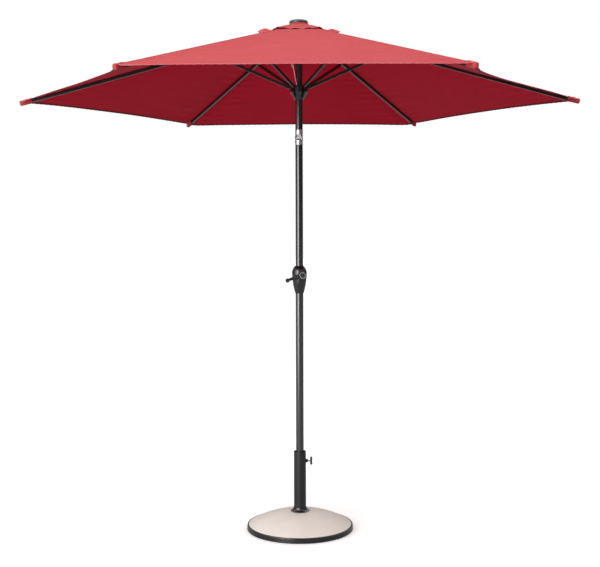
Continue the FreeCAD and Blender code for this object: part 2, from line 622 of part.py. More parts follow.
def base_rim():
    """Black moulded ring round the foot, with a turned-in floor that carries the ballast."""
    floor_r, low, floor_top, top = 200.0, 1.5, 6.9, 26.0
    wall_r = DOME_EDGE[0] + 0.15
    edges = lines((BASE_R - 6, top), (wall_r, top), (wall_r, floor_top), (floor_r, floor_top), (floor_r, low),
                  (BASE_R - 3, low))
    edges.append(arc((BASE_R - 3, low), (BASE_R - 0.6, 2.6), (BASE_R, 5)))
    edges.append(line((BASE_R, 5), (BASE_R - 1.5, 22)))
    edges.append(arc((BASE_R - 1.5, 22), (BASE_R - 3.5, 25.4), (BASE_R - 6, top)))
    return cut_all(revolved(edges), *base_pads(15.05).Solids)


def base_pads(radius=15.0):
    """Six rubber pads that the base stands on."""
    return ring_of(cylinder(radius, (225, 0, 0), (225, 0, 5)), [30 + azimuth for azimuth in RIB_AZIMUTHS])


# Output -------------------------------------------------------------------------------------------
SUB_PARTS = [base_rim, base_cover, ballast, base_pads, base_tube, flange_bolts, collar, clamp_screw,
             knob_handle, pole_sleeve, foot_plug, lower_tube, housing_front, housing_back, housing_screws,
             middle_tube, tilt_socket, tilt_pin, button_spring, tilt_button, crank_arm, winding_drum,
             crank_cap, crank_ring, brake_spring, crank_grip, tilt_knuckle, upper_tube, top_hub, hub_pins,
             pulley_pin,
             pulley, finial, inner_cord, lift_cord, runner]


def main():
    os.makedirs("parts", exist_ok=True)
    nodes = {make.__name__: make() for make in SUB_PARTS}
    tube_shape, fittings, strut_shape = rib_tube(), rib_fittings(), strut()
    panel = Part.makeCompound(canopy_panel().Solids + vent_panel().Solids)
    for number, azimuth in enumerate(RIB_AZIMUTHS, start=1):
        nodes[f"rib_{number}"] = turned(tube_shape, azimuth)
        nodes[f"rib_{number}_fittings"] = turned(fittings, azimuth)
        nodes[f"strut_{number}"] = turned(strut_shape, azimuth)
        nodes[f"canopy_panel_{number}"] = turned(panel, azimuth)
    for name, shape in nodes.items():
        if not shape.isValid() or not shape.Solids:
            print("CHECK", name, shape.isValid(), len(shape.Solids))
        shape.exportStep(f"parts/{name}.step")
    print(len(nodes), "sub-parts")
    print("strut slope", round(STRUT_SLOPE, 2), "folded", round(FOLDED_STRUT_SLOPE, 2))
    print("strut length", round(STRUT_LENGTH, 2), "runner travel", round(RUNNER_TRAVEL, 2))
    print("strut pivots", [round(v, 2) for v in BRACKET_AT])


main()
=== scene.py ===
"""Looks of the patio umbrella: cloth, trims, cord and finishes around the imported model. Metres, +Z up."""

import math

import bpy
import numpy as np
from mathutils import Matrix, Vector, noise


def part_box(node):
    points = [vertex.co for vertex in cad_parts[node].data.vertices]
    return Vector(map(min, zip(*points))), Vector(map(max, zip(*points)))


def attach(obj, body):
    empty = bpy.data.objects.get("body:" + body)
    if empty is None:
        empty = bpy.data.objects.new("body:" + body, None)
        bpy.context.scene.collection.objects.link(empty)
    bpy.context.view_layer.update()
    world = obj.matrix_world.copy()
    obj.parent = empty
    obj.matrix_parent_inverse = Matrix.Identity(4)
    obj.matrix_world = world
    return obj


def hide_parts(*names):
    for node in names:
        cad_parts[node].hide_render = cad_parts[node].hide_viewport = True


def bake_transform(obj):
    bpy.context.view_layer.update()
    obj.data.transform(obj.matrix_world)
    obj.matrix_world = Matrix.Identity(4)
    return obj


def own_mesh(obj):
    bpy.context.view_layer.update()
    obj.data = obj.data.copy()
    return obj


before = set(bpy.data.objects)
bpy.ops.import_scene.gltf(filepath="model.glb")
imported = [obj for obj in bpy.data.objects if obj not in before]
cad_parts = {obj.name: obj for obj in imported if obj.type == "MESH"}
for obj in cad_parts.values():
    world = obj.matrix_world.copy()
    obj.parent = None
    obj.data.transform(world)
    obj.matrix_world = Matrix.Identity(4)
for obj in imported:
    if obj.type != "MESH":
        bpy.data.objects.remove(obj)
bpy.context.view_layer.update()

# Sizes from the frame -----------------------------------------------------------------------------
MM = 0.001
RIB_COUNT = 6
STEP = 360.0 / RIB_COUNT
RIB_SLOPE = math.radians(15.2)
FALL = math.tan(RIB_SLOPE)
PIVOT_R = 35 * MM
HUB_Z = sum(corner.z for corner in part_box("hub_pins")) / 2
CORNER_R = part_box("canopy_panel_1")[1].x
RIB_SHORT = 12 * MM              # how far the rib stops inside the cloth's corner
RIB_END = (CORNER_R - RIB_SHORT - PIVOT_R) / math.cos(RIB_SLOPE)
FINIAL_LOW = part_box("finial")[0]

CLOTH = 1.0 * MM                 # thickness of the cloth shell
CLOTH_LIFT = 10.8 * MM           # middle of the cloth over the rib's centre line
SADDLE_DROP = 3.0 * MM           # how far the cloth falls beside the rib near the hem
SADDLE_W = 22 * MM
VENT_HOLE_R = 120 * MM           # the main canopy starts here, under the vent canopy
VENT_R = 200 * MM


def smooth_step(x):
    x = np.clip(x, 0.0, 1.0)
    return x * x * (3 - 2 * x)


def field(x, y, scale, seed):
    """Smooth noise from -1 to 1 over two arrays of one shape. Each seed is another place in the noise."""
    shift = Vector((seed * 7.1, seed * 3.7, seed * 1.3))
    y = np.broadcast_to(y, x.shape)
    values = [noise.noise(Vector((a, b, 0.0)) * scale + shift) for a, b in zip(x.ravel(), y.ravel())]
    return np.array(values).reshape(x.shape)


# Mesh building ------------------------------------------------------------------------------------
def make_object(name, points, faces, materials, face_materials=None, uvs=None, sharp=40.0):
    """A shaded mesh object; uvs is one pair per vertex."""
    mesh = bpy.data.meshes.new(name)
    mesh.from_pydata([tuple(p) for p in points], [], [tuple(f) for f in faces])
    mesh.validate()
    for item in materials:
        mesh.materials.append(item)
    if face_materials is not None:
        mesh.polygons.foreach_set("material_index", np.asarray(face_materials, dtype=np.int32))
    if uvs is not None:
        layer = mesh.uv_layers.new(name="cloth")
        corners = np.empty(len(mesh.loops), dtype=np.int32)
        mesh.loops.foreach_get("vertex_index", corners)
        layer.data.foreach_set("uv", np.asarray(uvs, dtype=np.float32)[corners].ravel())
    mesh.shade_smooth()
    mesh.set_sharp_from_angle(angle=math.radians(sharp))
    mesh.update()
    made = bpy.data.objects.new(name, mesh)
    bpy.context.scene.collection.objects.link(made)
    return made


class Solid:
    """Points and faces gathered from several closed forms, each with its own material number."""

    def __init__(self):
        self.points, self.faces, self.materials, self.uvs = [], [], [], []
        self.count = 0

    def add(self, points, faces, material=0, uvs=None):
        points = np.asarray(points, dtype=float).reshape(-1, 3)
        self.points.append(points)
        self.faces += [tuple(self.count + i for i in face) for face in faces]
        self.materials += [material] * len(faces)
        self.uvs.append(np.zeros((len(points), 2)) if uvs is None else np.asarray(uvs, dtype=float))
        self.count += len(points)

    def build(self, name, materials, sharp=40.0):
        return make_object(name, np.concatenate(self.points), self.faces, materials, self.materials,
                           np.concatenate(self.uvs), sharp)


def signed_volume(points, faces):
    total = 0.0
    for face in faces:
        a = points[face[0]]
        for i in range(1, len(face) - 1):
            total += np.dot(a, np.cross(points[face[i]], points[face[i + 1]]))
    return total


def swept(rings, around=True):
    """Points and outward faces of a tube through rings of points, with caps unless it goes around."""
    rings = np.asarray(rings, dtype=float)
    count, size = rings.shape[0], rings.shape[1]
    points = rings.reshape(-1, 3)
    faces = []
    for i in range(count - 1 if not around else count):
        a, b = i * size, (i + 1) % count * size
        for j in range(size):
            k = (j + 1) % size
            faces.append((a + j, a + k, b + k, b + j))
    if not around:
        faces.append(tuple(range(size - 1, -1, -1)))
        faces.append(tuple((count - 1) * size + j for j in range(size)))
    if signed_volume(points - points.mean(0), faces) < 0:
        faces = [face[::-1] for face in faces]
    return points, faces


# Materials ----------------------------------------------------------------------------------------
def linear(*srgb):
    """A linear colour from 0-255 sRGB values."""
    values = [c / 255 for c in srgb]
    return tuple(c / 12.92 if c <= 0.04045 else ((c + 0.055) / 1.055) ** 2.4 for c in values) + (1.0,)


def scaled(colour, factor):
    """A colour made darker or lighter."""
    return tuple(min(1.0, c * factor) for c in colour[:3]) + (1.0,)


# A Mix node repeats its socket names for numbers and colours, so the colour ones are picked by place
MIX_FIRST, MIX_SECOND, MIX_RESULT = 6, 7, 2


class Look:
    """A material under construction: a Principled shader and short calls for the nodes before it."""

    def __init__(self, name, coordinates="Object"):
        self.material = bpy.data.materials.new(name)
        self.material.use_nodes = True
        self.tree = self.material.node_tree
        self.shader = self.tree.nodes["Principled BSDF"]
        self.output = self.tree.nodes["Material Output"]
        self.place = self.tree.nodes.new("ShaderNodeTexCoord").outputs[coordinates]

    def node(self, kind, inputs=(), **settings):
        made = self.tree.nodes.new(kind)
        for key, value in settings.items():
            setattr(made, key, value)
        for key, value in dict(inputs).items():
            self.feed(made.inputs[key], value)
        return made

    def feed(self, socket, value):
        if isinstance(value, bpy.types.NodeSocket):
            self.tree.links.new(value, socket)
        else:
            socket.default_value = value

    def stretched(self, scale):
        return self.node("ShaderNodeMapping", {"Vector": self.place, "Scale": scale}).outputs["Vector"]

    def noise(self, scale, detail=3.0, roughness=0.5, at=None):
        return self.node("ShaderNodeTexNoise", {"Vector": at or self.place, "Scale": scale, "Detail": detail,
                                                "Roughness": roughness}).outputs["Fac"]

    def wave(self, scale, direction):
        return self.node("ShaderNodeTexWave", {"Vector": self.place, "Scale": scale, "Distortion": 0.4,
                                               "Detail": 1.0, "Detail Scale": 2.0},
                         bands_direction=direction).outputs["Fac"]

    def speckle(self, scale):
        return self.node("ShaderNodeTexVoronoi", {"Vector": self.place, "Scale": scale}).outputs["Distance"]

    def ramp(self, value, low, high, dark, light):
        """Maps a value from low..high to dark..light numbers."""
        return self.node("ShaderNodeMapRange", {"Value": value, "From Min": low, "From Max": high,
                                                "To Min": dark, "To Max": light}).outputs["Result"]

    def blend(self, share, first, second):
        made = self.node("ShaderNodeMix", data_type="RGBA")
        self.feed(made.inputs["Factor"], share)
        self.feed(made.inputs[MIX_FIRST], first)
        self.feed(made.inputs[MIX_SECOND], second)
        return made.outputs[MIX_RESULT]

    def math(self, operation, first, second):
        made = self.node("ShaderNodeMath", operation=operation)
        self.feed(made.inputs[0], first)
        self.feed(made.inputs[1], second)
        return made.outputs[0]

    def bump(self, height, distance, strength=1.0, under=None):
        inputs = {"Height": height, "Distance": distance, "Strength": strength}
        if under is not None:
            inputs["Normal"] = under
        return self.node("ShaderNodeBump", inputs).outputs["Normal"]

    def set(self, **values):
        for key, value in values.items():
            self.feed(self.shader.inputs[key.replace("_", " ")], value)
        return self


WEAVE_PITCH = 1.1 * MM
WAVE_TURNS = 20.0                # a wave texture's bands repeat every 2 pi / (20 * scale)
SHEEN_TINT = (1.0, 0.6, 0.66, 1.0)


def woven(name, colour, faded, through, share, sheen=0.1):
    """Coated polyester cloth that lets some light through. through is the colour of that light."""
    look = Look(name, "UV")
    scale = 2 * math.pi / (WAVE_TURNS * WEAVE_PITCH)
    warp, weft = look.wave(scale, "X"), look.wave(scale, "Y")
    threads = look.math("MAXIMUM", warp, weft)
    slub = look.noise(1.0, 2.0, 0.5, look.stretched((220.0, 14.0, 1.0)))
    fade = look.noise(5.0, 4.0, 0.6)
    fine = look.noise(900.0, 2.0, 0.6)
    tone = look.blend(look.ramp(fade, 0.3, 0.7, 0.0, 1.0), colour, faded)
    tone = look.blend(look.ramp(slub, 0.35, 0.75, 0.0, 0.16), tone, faded)
    tone = look.blend(look.ramp(threads, 0.2, 1.0, 0.12, 0.0), tone, scaled(colour, 0.55))
    normal = look.bump(threads, 0.12 * MM, 0.5)
    normal = look.bump(fine, 0.1 * MM, 0.35, normal)
    look.set(Base_Color=tone, Roughness=look.ramp(fine, 0.2, 0.8, 0.72, 0.92), Normal=normal,
             Sheen_Weight=sheen, Sheen_Roughness=0.5, Specular_IOR_Level=0.12)
    look.shader.inputs["Sheen Tint"].default_value = SHEEN_TINT
    glow_colour = look.blend(0.25, through, tone)
    glow = look.node("ShaderNodeBsdfTranslucent", {"Color": glow_colour, "Normal": normal})
    mix = look.node("ShaderNodeMixShader")
    look.feed(mix.inputs[0], share)
    look.feed(mix.inputs[1], look.shader.outputs[0])
    look.feed(mix.inputs[2], glow.outputs[0])
    look.feed(look.output.inputs["Surface"], mix.outputs[0])
    return look.material


def plain_thread(name, colour):
    """Twisted sewing thread."""
    look = Look(name)
    strands = look.noise(2500.0, 2.0)
    tone = look.blend(look.ramp(strands, 0.3, 0.7, 0.0, 0.7), colour, scaled(colour, 0.6))
    look.set(Base_Color=tone, Roughness=0.75,
             Normal=look.bump(strands, 0.1 * MM, 0.6), Sheen_Weight=0.2)
    return look.material


def powder_coat(name, colour, light, rough, coat):
    """Powder-coated metal: orange peel, fine speckle, faint handling marks."""
    look = Look(name)
    peel, cloud = look.noise(420.0, 2.0, 0.45), look.noise(9.0, 4.0, 0.6)
    rub = look.noise(1.0, 5.0, 0.7, look.stretched((160.0, 160.0, 5.0)))
    dust = look.speckle(650.0)
    tone = look.blend(look.ramp(cloud, 0.35, 0.7, 0.0, 0.55), colour, light)
    tone = look.blend(look.ramp(rub, 0.62, 0.8, 0.0, 0.35), tone, light)
    tone = look.blend(look.ramp(dust, 0.0, 0.16, 0.22, 0.0), tone, scaled(light, 2.2))
    worn = look.ramp(rub, 0.4, 0.8, rough, rough + 0.07)
    normal = look.bump(peel, 0.03 * MM, 0.2)
    look.set(Base_Color=tone, Roughness=worn, Normal=normal, Coat_Weight=coat, Coat_Roughness=0.22)
    return look.material


def moulded(name, colour, light, rough, grain=700.0, depth=0.12, coat=0.0):
    """Moulded plastic with a fine spark-eroded grain."""
    look = Look(name)
    grit, cloud = look.noise(grain, 3.0, 0.6), look.noise(22.0, 4.0, 0.6)
    tone = look.blend(look.ramp(cloud, 0.35, 0.75, 0.0, 0.7), colour, light)
    scuff = look.noise(1.0, 4.0, 0.7, look.stretched((40.0, 220.0, 60.0)))
    tone = look.blend(look.ramp(scuff, 0.66, 0.8, 0.0, 0.4), tone, scaled(light, 1.9))
    look.set(Base_Color=tone, Roughness=look.ramp(grit, 0.25, 0.75, rough - 0.07, rough + 0.09),
             Normal=look.bump(grit, depth * MM, 0.5), Coat_Weight=coat, Coat_Roughness=0.18)
    return look.material


def drawn_metal(name, colour, dark, rough):
    """Drawn or turned bare metal with fine level lines."""
    look = Look(name)
    lines = look.noise(1.0, 4.0, 0.65, look.stretched((30.0, 30.0, 900.0)))
    cloud = look.noise(30.0, 4.0, 0.6)
    tone = look.blend(look.ramp(cloud, 0.3, 0.75, 0.0, 0.6), colour, dark)
    look.set(Base_Color=tone, Metallic=1.0, Roughness=look.ramp(lines, 0.3, 0.7, rough - 0.06, rough + 0.1),
             Normal=look.bump(lines, 0.05 * MM, 0.5))
    return look.material


def cast_resin(name, colour, shade):
    """Painted cover of the base: faint mottling, tiny pits, satin surface."""
    look = Look(name)
    cloud, grit = look.noise(7.0, 5.0, 0.62), look.noise(520.0, 3.0, 0.6)
    pits = look.speckle(150.0)
    tone = look.blend(look.ramp(cloud, 0.3, 0.72, 0.0, 1.0), colour, shade)
    tone = look.blend(look.ramp(pits, 0.02, 0.09, 0.35, 0.0), tone, scaled(shade, 0.6))
    height = look.math("ADD", look.math("MULTIPLY", look.ramp(pits, 0.0, 0.12, 0.0, 1.0), 0.6), grit)
    look.set(Base_Color=tone, Roughness=look.ramp(cloud, 0.3, 0.7, 0.42, 0.56),
             Normal=look.bump(height, 0.16 * MM, 0.45), Coat_Weight=0.12, Coat_Roughness=0.35)
    return look.material


def concrete(name):
    """Cast concrete with sand and a few darker stones."""
    look = Look(name)
    stones, sand = look.speckle(70.0), look.noise(180.0, 5.0, 0.7)
    tone = look.blend(look.ramp(sand, 0.3, 0.7, 0.0, 1.0), linear(172, 168, 160), linear(120, 117, 110))
    tone = look.blend(look.ramp(stones, 0.05, 0.3, 0.4, 0.0), tone, linear(90, 88, 84))
    look.set(Base_Color=tone, Roughness=0.9, Normal=look.bump(sand, 0.6 * MM, 0.8))
    return look.material


def cloth_looks():
    red, faded = linear(212, 80, 84), linear(220, 90, 93)
    # the cloth's inner faces get a darker, bluer copy of the red: painted shade of the canopy's underside
    shaded_red, shaded_red_light = linear(168, 30, 62), linear(180, 38, 70)
    # the hem's downward faces get a still darker red: painted shade of the hem's underside
    hem_shaded, hem_shaded_light = linear(116, 22, 38), linear(126, 28, 44)
    trim, trim_light = linear(206, 96, 104), linear(216, 110, 116)
    return {
        "canopy_red": woven("cloth_outside", red, faded, linear(238, 43, 84), 0.32),
        "cloth_inside": woven("cloth_inside", shaded_red, shaded_red_light, linear(250, 28, 112), 0.46, 0.12),
        "cloth_hem_inside": woven("cloth_hem_inside", hem_shaded, hem_shaded_light, linear(150, 16, 50), 0.2),
        "cloth_trim": woven("cloth_trim", trim, trim_light, linear(200, 50, 60), 0.2),
        "thread": plain_thread("thread", linear(176, 52, 60)),
    }


def metal_looks():
    black, black_light = linear(17, 17, 19), linear(24, 24, 26)
    grey, grey_light = linear(34, 33, 36), linear(42, 41, 44)
    return {
        "frame_black": powder_coat("frame_black", black, black_light, 0.3, coat=0.25),
        "pole_black": powder_coat("pole_anthracite", grey, grey_light, 0.22, coat=0.9),
        "silver_joint": drawn_metal("silver_joint", linear(214, 215, 217), linear(200, 201, 204), 0.4),
        "steel_parts": drawn_metal("steel", linear(196, 196, 198), linear(160, 160, 163), 0.36),
    }


def moulded_looks():
    black, black_light = linear(19, 19, 23), linear(27, 27, 31)
    grey, grey_light = linear(56, 64, 68), linear(70, 78, 82)
    cord, cord_light = linear(240, 226, 224), linear(248, 238, 236)
    return {
        "black_plastic": moulded("plastic_black", black, black_light, 0.26, depth=0.05, coat=0.35),
        "grey_plastic": moulded("plastic_grey", grey, grey_light, 0.3, coat=0.3),
        "rubber_pads": moulded("rubber", linear(30, 30, 31), linear(42, 42, 43), 0.75, 400.0, 0.2),
        "cord_pink": moulded("cord", cord, cord_light, 0.8, 2200.0, 0.1),
        "disc_white": moulded("disc", linear(205, 204, 214), linear(216, 215, 224), 0.4, coat=0.2),
    }


def make_looks():
    """Every look by its slot's name in the record, with the cloth's own trim and thread, and darker reds for
    its inner faces and hem undersides, which are painted shade.
    """
    looks = {**cloth_looks(), **metal_looks(), **moulded_looks()}
    looks["base_beige"] = cast_resin("base_cover_beige", linear(228, 219, 211), linear(219, 209, 201))
    looks["ballast_concrete"] = concrete("ballast_concrete")
    return looks


def finish_cad_nodes(looks):
    """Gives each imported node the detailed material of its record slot."""
    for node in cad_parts.values():
        for place in node.material_slots:
            slot = place.material.name.split(".")[0]
            place.material = looks[slot]


# Canopy cloth -------------------------------------------------------------------------------------
def kite(number, inner, outer, rows, columns, inward):
    """Grid over the two half-gores beside rib `number`: plan points, radius along the seams, share t from
    the seam to the gore's middle, and the gore's number with the signed way from its middle."""
    ahead = np.linspace(-1, 1, 2 * columns + 1)
    share, side = np.abs(ahead), np.where(ahead < 0, -1, 1)
    along = np.linspace(0, 1, rows + 1)
    radius = inner + (outer - inner) * along
    hem = 1 - inward * (2 * share - share ** 2)[None, :] * (along ** 2)[:, None]
    radius = radius[:, None] * hem
    share = np.broadcast_to(share, radius.shape)
    start = math.radians(STEP * (number - 1))
    near = np.array([math.cos(start), math.sin(start)])
    turn = start + side * math.radians(STEP)
    far = np.stack([np.cos(turn), np.sin(turn)], axis=-1)[None]
    plan = radius[..., None] * ((1 - share / 2)[..., None] * near + (share / 2)[..., None] * far)
    gore = np.where(side > 0, number, (number - 2) % RIB_COUNT + 1)
    way = radius / 2 * (1 - share) * -side[None, :]
    return {"plan": plan, "radius": radius, "share": share, "gore": gore, "way": way,
            "along": np.broadcast_to(along[:, None], radius.shape), "side": side}


def normals_of(points):
    down, across = np.gradient(points, axis=0), np.gradient(points, axis=1)
    normal = np.cross(down, across)
    return normal / np.linalg.norm(normal, axis=-1, keepdims=True)


def shell(name, points, thickness, outside, inside):
    """A closed sheet around a grid of middle points, with its own material on each face."""
    normal = normals_of(points)
    rows, columns = points.shape[0] - 1, points.shape[1] - 1
    top = (points + normal * thickness / 2).reshape(-1, 3)
    bottom = (points - normal * thickness / 2).reshape(-1, 3)
    width = columns + 1
    count = len(top)
    faces, kinds = [], []
    for i in range(rows):
        for j in range(columns):
            a = i * width + j
            quad = (a, a + width, a + width + 1, a + 1)
            faces.append(quad)
            faces.append(tuple(count + v for v in reversed(quad)))
            kinds += [0, 1]
    loop = [i * width for i in range(rows)] + [rows * width + j for j in range(columns)]
    loop += [i * width + columns for i in range(rows, 0, -1)] + list(range(columns, 0, -1))
    for a, b in zip(loop, loop[1:] + loop[:1]):
        faces.append((b, a, count + a, count + b))
        kinds.append(0)
    steps = np.linalg.norm(np.diff(points, axis=1), axis=-1)
    u = np.concatenate([np.zeros((rows + 1, 1)), np.cumsum(steps, axis=1)], axis=1)
    u -= u[:, columns // 2][:, None]
    v = np.broadcast_to(np.linspace(0, 1, rows + 1)[:, None], u.shape)
    v = v * np.linalg.norm(points[-1, columns // 2] - points[0, columns // 2])
    uv = np.stack([u, v], axis=-1).reshape(-1, 2)
    return make_object(name, np.concatenate([top, bottom]), faces, [outside, inside], kinds,
                       np.concatenate([uv, uv]), 50.0)


MAIN_ROWS, MAIN_COLUMNS = 130, 56
MAIN_HEM_BOW = 0.019             # how far the hem curves in between the ribs, as a share of its radius
MAIN_SAG = {1: 9 * MM, 2: 9 * MM, 3: 6 * MM, 4: 1 * MM, 5: 8 * MM, 6: 9 * MM}   # for each gore
FAR_GORE, LEFT_GORE, RIGHT_GORE = 2, 4, 6
HEM_SAGS = {FAR_GORE: 11 * MM, LEFT_GORE: 16 * MM, RIGHT_GORE: 22 * MM}
HEM_SAG_START = 18 * MM          # a hem starts to hang this far from its seam
SLOW_WAVE_H, MIDDLE_WAVE_H = 2.6 * MM, 0.9 * MM
STREAK_H, STREAK_PITCH = 3.2 * MM, 85 * MM
PUCKER_H, PUCKER_PITCH = 0.9 * MM, 26 * MM
RIPPLE_H, RIPPLE_PITCH = 0.7 * MM, 31 * MM
PULL_H, PULL_R, PULL_TURNS = 0.9 * MM, 100 * MM, 17.0


def seam_distance(grid):
    return grid["radius"] * grid["share"] * math.sin(math.radians(STEP)) / 2


def hem_sag(grid, from_seam):
    """How far the hems hang: the side ones most, close to the near corners, and the far one evenly."""
    t = 0.5 + grid["way"] / grid["radius"]
    gore = np.broadcast_to(grid["gore"], t.shape)
    sag = np.where(gore == FAR_GORE, HEM_SAGS[FAR_GORE], 0.0)
    sag = np.where(gore == LEFT_GORE, HEM_SAGS[LEFT_GORE] * smooth_step(t / 0.9), sag)
    sag = np.where(gore == RIGHT_GORE, HEM_SAGS[RIGHT_GORE] * smooth_step((1 - t) / 0.9), sag)
    return sag * grid["along"] ** 3 * (1 - np.exp(-from_seam / HEM_SAG_START))


def stretched_cloth(grid, from_seam):
    """Height of the cloth between ribs and hem, with each gore's sag and the fall beside the ribs."""
    radius, share, along = grid["radius"], grid["share"], grid["along"]
    z = HUB_Z - (radius - PIVOT_R) * FALL + CLOTH_LIFT / math.cos(RIB_SLOPE)
    depth = np.array([MAIN_SAG[int(gore)] for gore in grid["gore"]])[None, :]
    z = z - depth * np.sin(math.pi * along) * (2 * share - share ** 2)
    z = z - hem_sag(grid, from_seam)
    return z - SADDLE_DROP * along ** 3 * (1 - np.exp(-(from_seam / SADDLE_W) ** 2))


def loose_waves(grid, from_seam, from_hem):
    """Broad uneven waves of the cloth, weaker along its seams and its hem."""
    x, y = grid["plan"][..., 0], grid["plan"][..., 1]
    waves = SLOW_WAVE_H * field(x, y, 3.2, 1.0) + MIDDLE_WAVE_H * field(x, y, 9.0, 2.0)
    return waves * smooth_step(from_seam / 0.06) * (0.35 + 0.65 * smooth_step(from_hem / 0.15))


def seam_pulls(number, grid, from_seam):
    """Streaks that start at the seam and puckers along its stitches."""
    radius = grid["radius"]
    wander = field(radius, number * 5.0, 7.0, 3.0)
    strength = 0.55 + 0.45 * field(radius, number * 5.0, 11.0, 4.0)
    streak = np.sin(2 * math.pi * radius / STREAK_PITCH + 3.0 * wander + number) * (0.4 + 0.6 * strength)
    pucker = np.sin(2 * math.pi * radius / PUCKER_PITCH + 4.0 * wander) * strength
    near_streak = np.exp(-from_seam / 0.16) * smooth_step(from_seam / 0.03)
    near_pucker = np.exp(-from_seam / 0.035) * smooth_step(from_seam / 0.008)
    return STREAK_H * streak * near_streak + PUCKER_H * pucker * near_pucker


def hem_ripple(grid, from_hem):
    wander = field(grid["way"], grid["gore"] * 3.0, 6.0, 5.0)
    ripple = np.sin(2 * math.pi * grid["way"] / RIPPLE_PITCH + 5.0 * wander)
    return RIPPLE_H * ripple * np.exp(-from_hem / 0.03)


def corner_pull(number, from_seam, from_hem):
    """Lines that fan out from the corner, where the pocket holds the cloth."""
    far = np.hypot(from_seam, from_hem) / PULL_R
    angle = np.arctan2(from_seam, from_hem + 1e-6)
    fan = np.cos(angle * PULL_TURNS + number) * far * np.exp(1 - far)
    return PULL_H * fan * smooth_step(from_seam / 0.02)


def canopy_heights(number, grid):
    """Height of the main canopy's cloth: taut gores with a little sag, puckers and pull lines."""
    from_seam = seam_distance(grid)
    from_hem = (1 - grid["along"]) * (CORNER_R - VENT_HOLE_R)
    fade = (1 - grid["share"] ** 2) ** 2
    z = stretched_cloth(grid, from_seam) + loose_waves(grid, from_seam, from_hem)
    z = z + seam_pulls(number, grid, from_seam) * fade + hem_ripple(grid, from_hem)
    return z + corner_pull(number, from_seam, from_hem) * fade


VENT_ROWS, VENT_COLUMNS = 44, 26
VENT_INNER_R = 27 * MM
VENT_SLOPE = math.tan(math.radians(14.2))
VENT_TOP = FINIAL_LOW.z + 3 * MM
VENT_HEM_BOW = 0.03
VENT_SAG = 9.5 * MM
VENT_WAVE_H = 1.3 * MM
HUMP_H = [11 * MM, 6 * MM, 7 * MM, 15 * MM, -1 * MM, -2 * MM]     # one for each corner, rib 1 first
HUMP_W = 20 * MM
RUFFLE_H, RUFFLE_PITCH = 2.2 * MM, 58 * MM
GATHER_H, GATHER_COUNT = 0.8 * MM, 30


def vent_heights(number, grid):
    """Height of the small top canopy, which stands up at its corners and droops between them."""
    radius, share, along = grid["radius"], grid["share"], grid["along"]
    x, y = grid["plan"][..., 0], grid["plan"][..., 1]
    from_seam = seam_distance(grid)
    from_hem = (1 - along) * (VENT_R - VENT_INNER_R)
    curl = smooth_step((along - 0.66) / 0.13) - 0.35 * smooth_step((along - 0.9) / 0.1)
    hump = np.exp(-(from_seam / HUMP_W) ** 2) * curl
    z = VENT_TOP - (radius - VENT_INNER_R) * VENT_SLOPE
    z = z + HUMP_H[number - 1] * hump - VENT_SAG * along ** 2 * (2 * share - share ** 2)
    z = z + VENT_WAVE_H * field(x, y, 22.0, 8.0)
    ruffle = np.sin(2 * math.pi * grid["way"] / RUFFLE_PITCH + 1.7 * grid["gore"] + 0.8)
    z = z + RUFFLE_H * ruffle * np.exp(-from_hem / 0.03) * smooth_step(from_seam / 0.03)
    gathers = np.cos(np.arctan2(y, x) * GATHER_COUNT)
    return z + GATHER_H * gathers * np.exp(-(radius - VENT_INNER_R) / 0.018)


def grid_points(grid, heights):
    return np.concatenate([grid["plan"], heights[..., None]], axis=-1)


HEM_PROFILE = [(18.0, 0.4), (18.0, 1.0), (10.0, 1.25), (1.5, 1.3), (-0.4, 0.95), (-1.0, 0.0), (-0.4, -0.95),
               (1.5, -1.3), (10.0, -1.25), (18.0, -1.0), (18.0, -0.4), (2.0, -0.4), (2.0, 0.4)]
HEM_INSIDE = (5, 9)              # first and last of the profile's steps that face down; these get the hem's painted shade
HEM_STITCH_IN, HEM_STITCH_UP = 14.5, 1.15


def hem_rings(points, scale=1.0):
    """Folded hem along the last row of a cloth grid: inward and normal offsets in millimetres."""
    normal = normals_of(points)[-1]
    inward = points[-3] - points[-1]
    inward = inward / np.linalg.norm(inward, axis=-1, keepdims=True)
    rings = [points[-1] + inward * a * scale * MM + normal * b * MM for a, b in HEM_PROFILE]
    return np.stack(rings, axis=1), inward, normal


STITCH_PITCH, STITCH_LENGTH, STITCH_R = 4.2 * MM, 2.8 * MM, 0.32 * MM


def stitches(solid, line, normal, material):
    """A row of raised stitches along a line of points, with the cloth's normal at each."""
    steps = np.linalg.norm(np.diff(line, axis=0), axis=1)
    far = np.concatenate([[0], np.cumsum(steps)])
    at = np.arange(STITCH_PITCH, far[-1] - STITCH_PITCH, STITCH_PITCH)
    middle = np.stack([np.interp(at, far, line[:, k]) for k in range(3)], axis=1)
    up = np.stack([np.interp(at, far, normal[:, k]) for k in range(3)], axis=1)
    ahead = np.stack([np.interp(at + STITCH_LENGTH / 2, far, line[:, k]) for k in range(3)], axis=1) - middle
    ahead = ahead / np.linalg.norm(ahead, axis=1, keepdims=True)
    beside = np.cross(ahead, up)
    half = STITCH_LENGTH / 2
    sides = [beside * STITCH_R, up * STITCH_R, -beside * STITCH_R, -up * STITCH_R]
    corners = [ahead * half, *sides, -ahead * half]
    points = np.stack([middle + corner for corner in corners], axis=1).reshape(-1, 3)
    faces = []
    for k in range(len(at)):
        b = 6 * k
        for i in range(4):
            p, q = b + 1 + i, b + 1 + (i + 1) % 4
            faces += [(b, q, p), (b + 5, p, q)]
    solid.add(points, faces, material)


